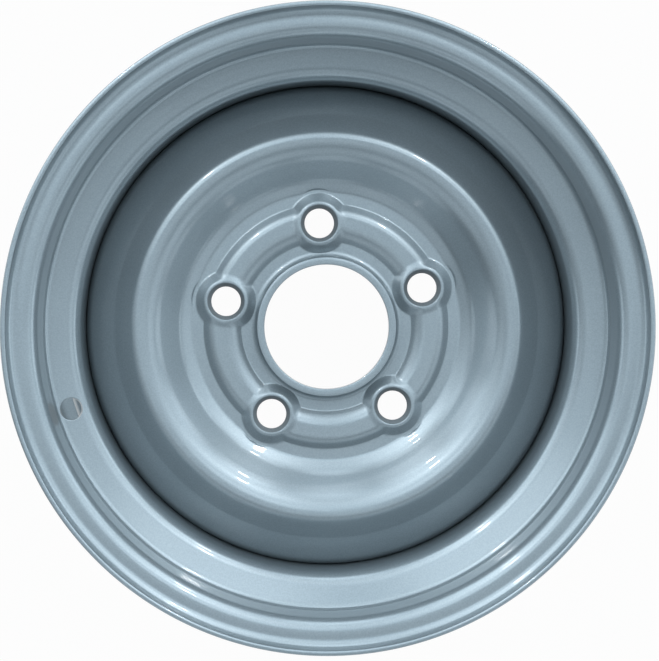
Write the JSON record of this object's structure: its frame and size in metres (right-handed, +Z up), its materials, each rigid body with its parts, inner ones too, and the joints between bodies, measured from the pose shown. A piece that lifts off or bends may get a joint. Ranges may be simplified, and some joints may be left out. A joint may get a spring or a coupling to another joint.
{
  "type": "steel wheel rim",
  "caption": "Pressed steel trailer wheel without tyre: a drop-centre rim with humped bead seats, welded to a dished disc with a bolt ring, cone-seated bolt holes and a necked centre bore.",
  "frame": {"origin": "the wheel's centre: on the axle line, midway between the two flanges", "axes": "+Z along the axle line to the outboard side, the side that shows on the vehicle; the wheel lies on its inboard flange, so +Z is up; X and Y are the picture's right and up"},
  "size_m": [0.3324, 0.3324, 0.1592],
  "materials": {
    "rim_paint": "glossy silver-grey wheel enamel",
    "disc_paint": "glossy silver-grey wheel enamel",
    "weld_paint": "silver-grey wheel enamel over a weld bead"
  },
  "bodies": {
    "root": {"rim": "rim_paint", "disc": "disc_paint", "weld_beads": "weld_paint"}
  },
  "joints": []
}
